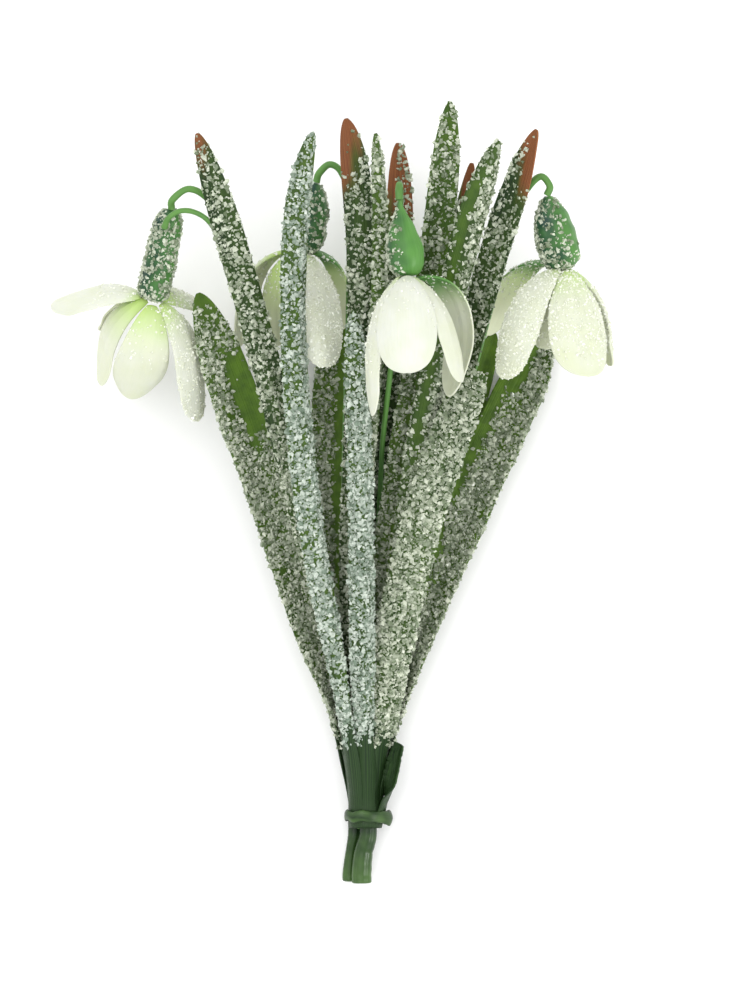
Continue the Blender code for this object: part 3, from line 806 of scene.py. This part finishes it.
# %% The petals' looks
Skin = namedtuple("Skin", "frost reach shoulder fresh cream crease")
PLAIN = Skin(0.12, 0.5, 0.0, 0.28, 0.25, 0.0)
PETALS = {
    "left_petal_1": Skin(0.10, 0.5, 0.0, 0.32, 0.35, 0.2),
    "left_petal_2": Skin(0.06, 0.4, 0.0, 0.40, 0.40, 0.2),
    "left_petal_3": Skin(0.25, 0.5, 0.0, 0.10, 0.10, 0.3),
    "left_petal_4": Skin(0.06, 0.4, 0.0, 0.40, 0.60, 0.0),
    "left_petal_5": Skin(0.45, 1.1, 0.0, 0.20, 0.15, 0.0),
    "left_petal_6": Skin(0.80, 1.1, 0.0, 0.45, 0.20, 0.0),
    "back_left_petal_1": Skin(0.85, 1.1, 0.0, 0.12, 0.25, 0.0),
    "back_left_petal_2": Skin(0.25, 0.6, 0.0, 0.75, 0.80, 0.4),
    "back_left_petal_3": Skin(0.20, 0.6, 0.0, 0.30, 0.50, 0.3),
    "back_left_petal_6": Skin(0.15, 0.5, 0.42, 0.80, 0.60, 0.0),
    "centre_petal_1": Skin(0.14, 0.5, 0.0, 0.0, 0.0, 0.0),
    "centre_petal_3": Skin(0.22, 0.7, 0.0, 0.05, 0.15, 0.3),
    "centre_petal_5": Skin(0.12, 0.4, 0.30, 0.36, 0.30, 0.4),
    "centre_petal_6": Skin(0.10, 0.4, 0.0, 0.10, 0.30, 0.3),
    "right_petal_1": Skin(1.00, 1.1, 0.0, 0.12, 0.25, 0.0),
    "right_petal_2": Skin(0.60, 1.1, 0.0, 0.20, 0.35, 0.2),
    "right_petal_3": Skin(0.70, 0.85, 0.0, 0.25, 0.40, 0.6),
    "right_petal_4": Skin(0.60, 0.8, 0.0, 0.25, 0.45, 0.2),
    "right_petal_5": Skin(0.35, 0.7, 0.42, 0.75, 0.70, 0.0),
}
print("petals with a look of their own:", len(PETALS))

# %% [markdown]
# ### A petal's points
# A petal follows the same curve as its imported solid, on a finer grid. Fine lengthwise ribs, an optional
# crease down the middle and a slightly wavy rim towards the tip are what the solid leaves out.

# %% Where a petal's points go
PETAL_STATIONS = 40
SPINE_STEPS = 4
PETAL_ACROSS = [k / 10 - 1 for k in range(21)]
RIB, RIBS = 0.07, 6.5  # height in millimetres, and how many ribs lie between the middle and the rim


def frame_along(aim):
    """Two unit vectors that stand square to aim: the first to the right, the second towards +Z."""
    up = Vector((0, 0, 1)) - aim * aim.z
    up.normalize()
    return up.cross(aim), up


def petal_half_width(t, width):
    """Narrow at the claw, widest at 0.64 of the length and round at the tip."""
    grow, close = 0.8, 0.45
    widest = grow / (grow + close)
    bulge = (t / widest) ** grow * ((1 - t) / (1 - widest)) ** close
    return max((1 - t) + (width / 2 - 0.5) * bulge, 0.5)


def petal_angle(petal, t):
    """The angle from the axis in radians: it changes most near the base."""
    return math.radians(petal.high + (petal.low - petal.high) * (1 - t) ** 2)


def petal_spine(petal, base_radius):
    """(t, along, out, angle) for each row, with the angle in radians from the flower's axis."""
    along, out, done = 0.0, base_radius, 0.0
    spine = []
    for k in range(PETAL_STATIONS + 1):
        t = 1 - (1 - k / PETAL_STATIONS) ** 1.35
        for step in range(SPINE_STEPS):
            angle = petal_angle(petal, done + (t - done) * (step + 0.5) / SPINE_STEPS)
            along += petal.length * (t - done) / SPINE_STEPS * math.cos(angle)
            out += petal.length * (t - done) / SPINE_STEPS * math.sin(angle)
        done = t
        spine.append((t, along, out, petal_angle(petal, t)))
    return spine


print("petal grid:", len(PETAL_ACROSS), "points across,", PETAL_STATIONS, "steps along")

# %% The grid of one petal


def petal_rows(flower, number, skin, seed):
    """The grid of one petal and the share of its length at each row. Odd petals are the inner ones."""
    petal = flower.petals[number]
    base, aim = Vector(flower.base), Vector(flower.aim).normalized()
    right, up = frame_along(aim)
    around = math.radians(petal.turn)
    outwards = right * math.cos(around) + up * math.sin(around)
    tangent = aim.cross(outwards)
    rows, shares = [], []
    for t, along, out, angle in petal_spine(petal, INNER_BASE if number % 2 else OUTER_BASE):
        middle = base + aim * along + outwards * out
        normal = outwards * math.cos(angle) - aim * math.sin(angle)
        hollow = min(out * 0.95, PETAL_HOLLOW)
        body = smooth(0, 0.25, t) * smooth(1, 0.85, t)
        row = []
        for s in PETAL_ACROSS:
            bent = s * petal_half_width(t, petal.width) / hollow
            across = (tangent * math.sin(bent) - normal * (1 - math.cos(bent))) * hollow
            rib = RIB * math.cos(2 * math.pi * RIBS * s) * body * (1 - abs(s))
            crease = skin.crease * math.exp(-((s / 0.13) ** 2)) * body
            wave = 0.5 * wander(seed + (s > 0), t, 0, 0.22) * abs(s) ** 2 * smooth(0.4, 0.8, t)
            row.append(middle + across + normal * (rib - crease + wave))
        rows.append(row)
        shares.append(t)
    return rows, shares


print("ribs across half a petal:", RIBS)

# %% Petals and their fine crystals
FLOWER_SEED, FLOWER_STEP, PETAL_STEP = 300, 60, 10  # one seed for each petal


def petal_values(skin, rows, shares, seed):
    """The lists of frost, cream, fresh and shoulder, one number for every point of the rows."""
    values = {"frost": [], "cream": [], "fresh": [], "shoulder": []}
    for row, t in zip(rows, shares):
        for s, point in zip(PETAL_ACROSS, row):
            uneven = wander(seed, point.x, point.y, 5.0)
            reach = smooth(skin.reach + 0.12, skin.reach - 0.12, t + 0.08 * uneven)
            rim = 0.75 + 0.25 * smooth(0.5, 0.95, abs(s))
            values["frost"].append(min(max(skin.frost * reach * rim * (1 + 0.3 * uneven), 0), 1))
            cream = min(max(skin.cream + 0.15 * uneven, 0), 1)
            values["cream"].append(cream * smooth(0.95, 0.5, abs(s) * 0.6))
            fresh = smooth(skin.fresh + 0.12, skin.fresh * 0.3 - 0.12, t + 0.05 * uneven)
            values["fresh"].append(fresh if skin.fresh else 0)
            shoulder = smooth(skin.shoulder + 0.1, skin.shoulder - 0.14, t)
            values["shoulder"].append(shoulder if skin.shoulder else 0)
    return values


def make_petal(flower, number, seed):
    """One petal and its crystals."""
    name = f"{flower.name}_petal_{number + 1}"
    skin = PETALS.get(name, PLAIN)
    rows, shares = petal_rows(flower, number, skin, seed)
    made = grid_object(name + "_sheet", rows, petal_values(skin, rows, shares, seed))
    made = shell(made, PETAL_THICK, PETAL_WHITE)
    finish_piece(made, "petal", name)
    frost_over(made, name + "_frost", PETAL_ICE, PETAL_GRIT, seed)


for place_in_bunch, flower in enumerate(FLOWERS):
    for number in range(len(flower.petals)):
        make_petal(flower, number, FLOWER_SEED + place_in_bunch * FLOWER_STEP + number * PETAL_STEP)

# %% [markdown]
# ### Caps
# The green cap over the petals is nearly a turned shape, so it is a stack of rings along the flower's axis.
# Three shallow grooves and a little unevenness keep it from looking like a lathe made it. The ends are
# closed with one point each. The rings run round the way that makes the faces look inwards, so every such
# body has its faces flipped at the end. A cap is flipped after its frost is spread, because the frost
# tree thins the chips by which way a face looks, and the amounts were set on the caps as they are made.

# %% Smooth lines and ringed bodies
def smooth_line(points, steps):
    """Points along a Catmull-Rom curve through the given ones."""
    ends = [points[0] * 2 - points[1], *points, points[-1] * 2 - points[-2]]
    line = []
    for a, b, c, d in zip(ends, ends[1:], ends[2:], ends[3:]):
        for k in range(steps):
            t = k / steps
            bend = a * 2 - b * 5 + c * 4 - d
            twist = b * 3 - a - c * 3 + d
            line.append((b * 2 + (c - a) * t + bend * t**2 + twist * t**3) / 2)
    return [*line, points[-1]]


def ring_body(name, rings, values, material, slot, node):
    """A closed body from rings of points in millimetres, with a fan over each end. Its faces look inwards."""
    around = len(rings[0])
    points = [place(p) for ring in rings for p in ring]
    faces = faces_between(len(rings), around, around)
    corners = uv_of_faces(len(rings), around)
    for ring, first, backwards in ((rings[0], 0, True), (rings[-1], len(points) - around, False)):
        middle = len(points)
        points.append(place(sum(ring, Vector()) / around))
        for k in range(around):
            edge = (first + k, first + (k + 1) % around)
            faces.append((*(edge[::-1] if backwards else edge), middle))
            corners += [(0.5, 0.0 if backwards else 1.0)] * 3
    mesh = bpy.data.meshes.new(name)
    mesh.from_pydata(points, [], faces)
    mesh.uv_layers.new(name="UVMap").data.foreach_set("uv", [x for corner in corners for x in corner])
    paint(mesh, {key: [*numbers, numbers[0], numbers[-1]] for key, numbers in values.items()})
    mesh.materials.append(material)
    mesh.shade_smooth()
    made = new_object(name, mesh)
    finish_piece(made, slot, node)
    return made


print("helpers: smooth_line, ring_body")

# %% [markdown]
# ### How each cap looks
# The cap is green where it is bare, darker and bluer on its left, and crusted with chips in places.
# tone_shift moves the whole cap towards dark or light. icy says how far the frost reaches from the left:
# hardly at all at -1, all over at 1. A profile lists pairs of the radius, against the cap's largest, and
# the share of its length.

# %% Caps over the petals
EGG = ((0.25, 0.0), (0.62, 0.02), (0.92, 0.14), (1.0, 0.38),
       (0.86, 0.68), (0.46, 0.90), (0.24, 0.97), (0.16, 1.0))
BARREL = ((0.30, 0.0), (0.78, 0.02), (0.98, 0.12), (1.0, 0.35),
          (0.93, 0.62), (0.86, 0.84), (0.60, 0.96), (0.20, 1.0))
SPEAR = ((0.22, 0.0), (0.60, 0.02), (0.92, 0.14), (0.98, 0.36),
         (0.66, 0.64), (0.30, 0.84), (0.16, 0.93), (0.08, 1.0))
Cap = namedtuple("Cap", "profile cover icy tone_shift")
CAPS = {
    "left": Cap(BARREL, 1.2, 1.0, -0.15),
    "back_left": Cap(EGG, 0.8, 1.0, -0.35),
    "centre": Cap(SPEAR, 0.9, -0.35, 0.25),
    "right": Cap(EGG, 1.2, 0.62, -0.15),
}
CAP_AROUND, CAP_STEPS = 48, 5
CAP_SEED = 700
GROOVES, GROOVE_DEPTH = 3, 0.07


def cap_rings(flower, look):
    """The cap's rings from the petals to the stem, and the tone and frost of each of their points."""
    base, top = Vector(flower.base), Vector(flower.calyx_top)
    axis = (top - base).normalized()
    length = (top - base).length - TOUCH_GAP
    wide = flower.calyx
    profile = [Vector((wide * size, 0, share)) for size, share in look.profile]
    right = Vector((0, 0, 1)).cross(axis).normalized() * -1
    up = axis.cross(right) * -1
    rings, tone, frost = [], [], []
    for spot in smooth_line(profile, CAP_STEPS):
        share = spot.z
        centre = base + axis * (TOUCH_GAP + length * share)
        ring = []
        for k in range(CAP_AROUND):
            angle = 2 * math.pi * k / CAP_AROUND
            out = right * math.cos(angle) + up * math.sin(angle)
            body = smooth(0, 0.2, share) * smooth(1, 0.8, share)
            groove = 1 - GROOVE_DEPTH * smooth(0.35, 1.0, math.cos(GROOVES * angle + 0.6)) * body
            uneven = 1 + 0.05 * wander(flower.calyx, angle, share * 5, 0.7) * smooth(1, 0.85, share)
            point = centre + out * (spot.x * groove * uneven)
            ring.append(point)
            patchy = 0.25 * wander(3, point.x, point.y, 3.0)
            tone.append(min(max(0.5 + 0.45 * out.x + look.tone_shift + patchy, 0), 1))
            frayed = out.x + 0.25 * wander(8, point.x, point.y, 2.5)
            open_side = smooth(look.icy + 0.35, look.icy - 0.35, frayed)
            frost.append(look.cover * (1.0 if look.icy >= 1 else open_side) * smooth(1.02, 0.93, share))
        rings.append(ring)
    return rings, {"tone": tone, "frost": frost}


for number, flower in enumerate(FLOWERS):
    look = CAPS[flower.name]
    rings, values = cap_rings(flower, look)
    cap = ring_body(flower.name + "_cap", rings, values, CAP_GREEN, "calyx", flower.name + "_calyx")
    frost_over(cap, flower.name + "_cap_frost", WARM_ICE, CAP_GRIT, CAP_SEED + number)
    cap.data.flip_normals()

# %% [markdown]
# ### Stems
# Each flower hangs from a thin wire stem that arches over and runs down between the leaves into the tie. A
# stem is a path with a round section, which is a second job for Geometry Nodes: the path's radius swells a
# little towards the cap, and noise along the length takes the machine-made look away.

# %% The stem tree
def stem_tree():
    tree = bpy.data.node_groups.new("stem", "GeometryNodeTree")
    tree.interface.new_socket("Path", in_out="INPUT", socket_type="NodeSocketGeometry")
    for label, kind in (("Radius", "Float"), ("Finish", "Material")):
        tree.interface.new_socket(label, in_out="INPUT", socket_type="NodeSocket" + kind)
    tree.interface.new_socket("Stem", in_out="OUTPUT", socket_type="NodeSocketGeometry")
    given = add_node(tree, "NodeGroupInput").outputs
    along = add_node(tree, "GeometryNodeSplineParameter").outputs["Factor"]
    swell = add_node(tree, "ShaderNodeMapRange", {
        "Value": along, "From Min": 0.0, "From Max": 0.12, "To Min": 1.35, "To Max": 1.0}).outputs[0]
    bumps = add_node(tree, "ShaderNodeTexNoise", {"Scale": 220.0, "Detail": 2.0}).outputs["Fac"]
    uneven = add_node(tree, "ShaderNodeMapRange", {"Value": bumps, "To Min": 0.86, "To Max": 1.14}).outputs[0]
    radius = multiply(tree, multiply(tree, swell, uneven), given["Radius"])
    circle = add_node(tree, "GeometryNodeCurvePrimitiveCircle", {"Resolution": 14, "Radius": 1.0})
    tube = add_node(tree, "GeometryNodeCurveToMesh", {
        "Curve": given["Path"], "Profile Curve": circle.outputs["Curve"], "Scale": radius, "Fill Caps": True})
    toned = add_node(tree, "GeometryNodeStoreNamedAttribute", {
        "Geometry": tube.outputs[0], "Name": "tone", "Value": bumps}, data_type="FLOAT", domain="POINT")
    soft = add_node(tree, "GeometryNodeSetShadeSmooth", {"Geometry": toned.outputs[0], "Shade Smooth": True})
    real = add_node(tree, "GeometryNodeRealizeInstances", {"Geometry": soft.outputs[0]})
    dressed = add_node(tree, "GeometryNodeSetMaterial", {
        "Geometry": real.outputs[0], "Material": given["Finish"]})
    add_node(tree, "NodeGroupOutput", {"Stem": dressed.outputs[0]})
    return tree


STEM = stem_tree()
print("tree:", STEM.name, len(STEM.nodes), "nodes")

# %% Stems and the left flower's second stalk
STEM_RADIUS = 0.68
STALK_RADIUS = 0.646
PATH_STEPS = 6
LEFT_BRACT = [(-49.2, 164.5, 42), (-48.2, 166.8, 43.2), (-45.5, 168.6, 43.4), (-42, 168.5, 42),
              (-38.5, 166.5, 40), (-36, 162.5, 38.2), (-34.4, 156, 36.4)]


def make_stem(name, points, radius, node):
    """A stem along a smooth path through these points, in millimetres."""
    path = bpy.data.curves.new(name + "_path", "CURVE")
    path.dimensions = "3D"
    line = smooth_line(points, PATH_STEPS)
    spline = path.splines.new("POLY")
    spline.points.add(len(line) - 1)
    for spot, p in zip(spline.points, line):
        spot.co = (*place(p), 1)
    carrier = new_object(name, path)
    grow = carrier.modifiers.new("stem", "NODES")
    grow.node_group = STEM
    set_input(grow, "Radius", radius * MM)
    set_input(grow, "Finish", STEM_GREEN)
    made = settled(carrier)
    finish_piece(made, "stem", node)
    print(f"{name}: {len(made.data.polygons)} faces")


for flower in FLOWERS:
    top = Vector(flower.calyx_top)
    into = (top - Vector(flower.base)).normalized()
    ring, angle = flower.root
    foot = TIE_CENTRE + direction(angle) * ring.radius
    points = [top + into * TOUCH_GAP, *map(Vector, flower.stem)]
    points += [Vector((foot.x, ROOT_HIGH, foot.z)), Vector((foot.x, ROOT_LOW, foot.z))]
    make_stem(flower.name + "_flower_stem", points, STEM_RADIUS, flower.name + "_stem")
make_stem("left_stalk", [Vector(p) for p in LEFT_BRACT], STALK_RADIUS, "left_bract")

# %% [markdown]
# ## The foot
# Below the frost the sheaths meet in a narrow waist with a soft, uneven band, and two cut stems stick out
# under it. The band is a closed ring with a lump on one side where its end was pressed down. The stems are
# stacks of rings, a little flared at the cut.

# %% The band
BAND_AROUND, BAND_SECTION = 72, 14
BAND_RADIUS, BAND_WALL = 4.98, 0.45  # the middle of the band, and half of how thick it is
BAND_HALF = (tie_high.y - tie_low.y) / 2 / MM * 0.82  # half of how tall it is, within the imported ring
LUMP_OUT, LUMP_WIDTH = 1.1, 800  # how far the lump sticks out, and twice the square of its spread in degrees


def band_point(angle, turn):
    """The band's surface at this angle round the bunch and this turn round its own section."""
    from_lump = (math.degrees(angle) + 180) % 360 - 180
    lump = math.exp(-from_lump**2 / LUMP_WIDTH)
    uneven = 1 + 0.16 * wander(12, angle * 3, turn, 1.1)
    reach = BAND_RADIUS + lump * LUMP_OUT + BAND_WALL * math.cos(turn) * (1 + 0.6 * lump) * uneven
    height = (BAND_HALF + 0.5 * lump) * math.sin(turn) * uneven
    along = height + 0.35 * wander(13, angle * 2, 0, 1.0) - 0.5 * lump
    return TIE_CENTRE + direction(math.degrees(angle)) * reach + Vector((0, along, 0))


def make_band():
    """The band as a grid whose last row lies on its first."""
    rings, tone = [], []
    for k in range(BAND_AROUND):
        angle = 2 * math.pi * k / BAND_AROUND
        turns = [2 * math.pi * j / BAND_SECTION for j in range(BAND_SECTION)]
        rings.append([band_point(angle, turn) for turn in turns])
        tone += [min(max(0.25 + 0.5 * wander(14, angle * 2, turn, 1.0), 0), 1) for turn in turns]
    tone += tone[:BAND_SECTION]
    return grid_object("band", [*rings, rings[0]], {"tone": tone}, closed=True)


def merged(obj, material):
    """Joins the first and last rows of a ring, points its faces outwards and dresses it."""
    shape = bmesh.new()
    shape.from_mesh(obj.data)
    bmesh.ops.remove_doubles(shape, verts=shape.verts, dist=0.00001)
    bmesh.ops.recalc_face_normals(shape, faces=shape.faces)
    shape.to_mesh(obj.data)
    shape.free()
    obj.data.materials.append(material)
    obj.data.shade_smooth()
    return obj


band = merged(make_band(), FOOT_GREEN)
finish_piece(band, "foot", "tie")
print("band:", len(band.data.polygons), "faces")

# %% The two cut stems
CUT_AROUND, CUT_STEPS = 40, 8
CUT_TOP = 17.5  # they reach up into the band, where nothing shows
CUT_ROUNDING = 0.35  # how far the rim of the cut lies above its middle
CUT_STEMS = {  # the points each one passes and its radius at each of them
    "front": ([(-0.1, 0, 5.2), (-0.1, 3, 5.2), (0.4, 8, 5.7), (1.5, 12, 6.4), (1.5, CUT_TOP, 6.4)],
              [2.5, 2.5, 2.35, 2.2, 2.2]),
    "back": ([(-3.3, 0.4, 1.8), (-3.2, 3, 1.9), (-2.7, 8, 2.6), (-1.9, 12, 3.4), (-1.9, CUT_TOP, 3.4)],
             [1.75, 1.7, 1.5, 1.7, 1.7]),
}


def cut_stem(name, points, radii, node):
    """A thick stem through these points: each point has its own radius, and the cut end is rounded."""
    line = smooth_line([Vector(p) for p in points], CUT_STEPS)
    sizes = [spot.x for spot in smooth_line([Vector((r, 0, 0)) for r in radii], CUT_STEPS)]
    rings, tone = [], []
    for number, (spot, radius) in enumerate(zip(line, sizes)):
        ahead = line[min(number + 1, len(line) - 1)] - line[max(number - 1, 0)]
        side = ahead.cross(Vector((0, 0, 1))).normalized()
        up = side.cross(ahead).normalized()
        ring = []
        for k in range(CUT_AROUND):
            angle = 2 * math.pi * k / CUT_AROUND
            groove = 1 - 0.05 * smooth(0.4, 1.0, math.cos(5 * angle + 1.0))
            size = radius * groove * (1 + 0.03 * wander(20, angle, spot.y, 1.5))
            ring.append(spot + (side * math.cos(angle) + up * math.sin(angle)) * size)
            tone.append(min(max(0.95 - spot.y / 14 + 0.2 * wander(21, angle, spot.y, 1.5), 0), 1))
        rings.append(ring)
    ends = []
    for inset, share in ((0.0, 0.55), (0.12, 0.85)):
        ends.append([p.lerp(line[0], 1 - share) + Vector((0, inset * share, 0)) for p in rings[0]])
    rim = [p + Vector((0, CUT_ROUNDING, 0)) for p in rings[0]]
    rings = [*ends, rim, *rings[1:]]
    tone = [*tone[:CUT_AROUND], *tone[:CUT_AROUND], *tone]
    made = ring_body(name, rings, {"tone": tone}, FOOT_GREEN, "foot", node)
    made.data.flip_normals()
    print(f"{name}: {len(made.data.polygons)} faces")


for side, (points, radii) in CUT_STEMS.items():
    cut_stem(f"cut_stem_{side}", points, radii, f"stem_end_{side}")

# %% [markdown]
# ## Table, light and camera
# The bunch lies on a white table under even light, as in a catalogue. A bright sky-like world fills every
# shadow, and one large soft lamp up and to the left gives the crystals and petals some shape. The camera
# hangs straight above, far away with a long lens, so the flowers aren't enlarged against the foot.

# %% Table
def table_finish():
    material, tree, shader = new_finish("white_table")
    faint = grain(tree, 30.0)
    white = blend_colours(tree, faint, (0.93, 0.93, 0.93), (0.95, 0.95, 0.95))
    tree.links.new(white, shader.inputs["Base Color"])
    tree.links.new(spread(tree, faint, 0.3, 0.7, 0.6, 0.75), shader.inputs["Roughness"])
    return material


TABLE_HALF = 3.0  # metres
table_mesh = bpy.data.meshes.new("table_top")
corners = [((2 * right - 1) * TABLE_HALF, (2 * on - 1) * TABLE_HALF, 0) for right, on in CORNERS]
table_mesh.from_pydata(corners, [], [(0, 1, 2, 3)])
table_mesh.materials.append(table_finish())
table_top = new_object("table_top", table_mesh)
print("table:", 2 * TABLE_HALF, "m square")

# %% Light
WORLD_STRENGTH = 1.12
LAMPED_SPOT = (0, 0, 0.02)
world = bpy.data.worlds.new("studio")
world.use_nodes = True
world.node_tree.nodes["Background"].inputs["Color"].default_value = (1.0, 1.0, 1.0, 1)
world.node_tree.nodes["Background"].inputs["Strength"].default_value = WORLD_STRENGTH
bpy.context.scene.world = world


def soft_lamp(name, power, size, where):
    """A square lamp of this many watts and metres that looks at the bunch and isn't seen itself."""
    lamp = bpy.data.lights.new(name, "AREA")
    lamp.energy = power
    lamp.size = size
    holder = new_object(name, lamp)
    holder.location = where
    holder.rotation_mode = "QUATERNION"
    holder.rotation_quaternion = (Vector(LAMPED_SPOT) - Vector(where)).to_track_quat("-Z", "Y")
    holder.visible_camera = False


soft_lamp("key_lamp", 6.5, 1.1, (-0.40, 0.32, 1.02))
soft_lamp("rim_lamp", 3.0, 0.25, (0.7, -0.3, 0.6))
bpy.context.scene.view_settings.view_transform = "Standard"
print("lights:", world.name, "world and two lamps")

# %% Camera
FRAME_HEIGHT = 0.250  # metres of the bunch's level that the upright picture shows
LENS, SENSOR = 400.0, 36.0
LEVEL = 0.030  # the height of the middle of the bunch
camera = bpy.data.cameras.new("camera")
camera.lens = LENS
camera.sensor_width = SENSOR
camera.clip_end = 50.0
eye = new_object("camera", camera)
aimed_at = place((3.25, 96.75, 0))
eye.location = (aimed_at.x, aimed_at.y, LEVEL + FRAME_HEIGHT * LENS / SENSOR)
bpy.context.scene.camera = eye
print("camera", tuple(round(x, 4) for x in eye.location))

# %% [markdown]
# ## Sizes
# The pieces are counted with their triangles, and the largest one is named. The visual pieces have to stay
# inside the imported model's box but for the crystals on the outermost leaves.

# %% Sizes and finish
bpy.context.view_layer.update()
triangles = {obj.name: sum(len(face.vertices) - 2 for face in obj.data.polygons) for obj in PIECES}
largest = max(triangles, key=triangles.get)
print("pieces:", len(PIECES), "triangles:", sum(triangles.values()), "largest:", largest, triangles[largest])
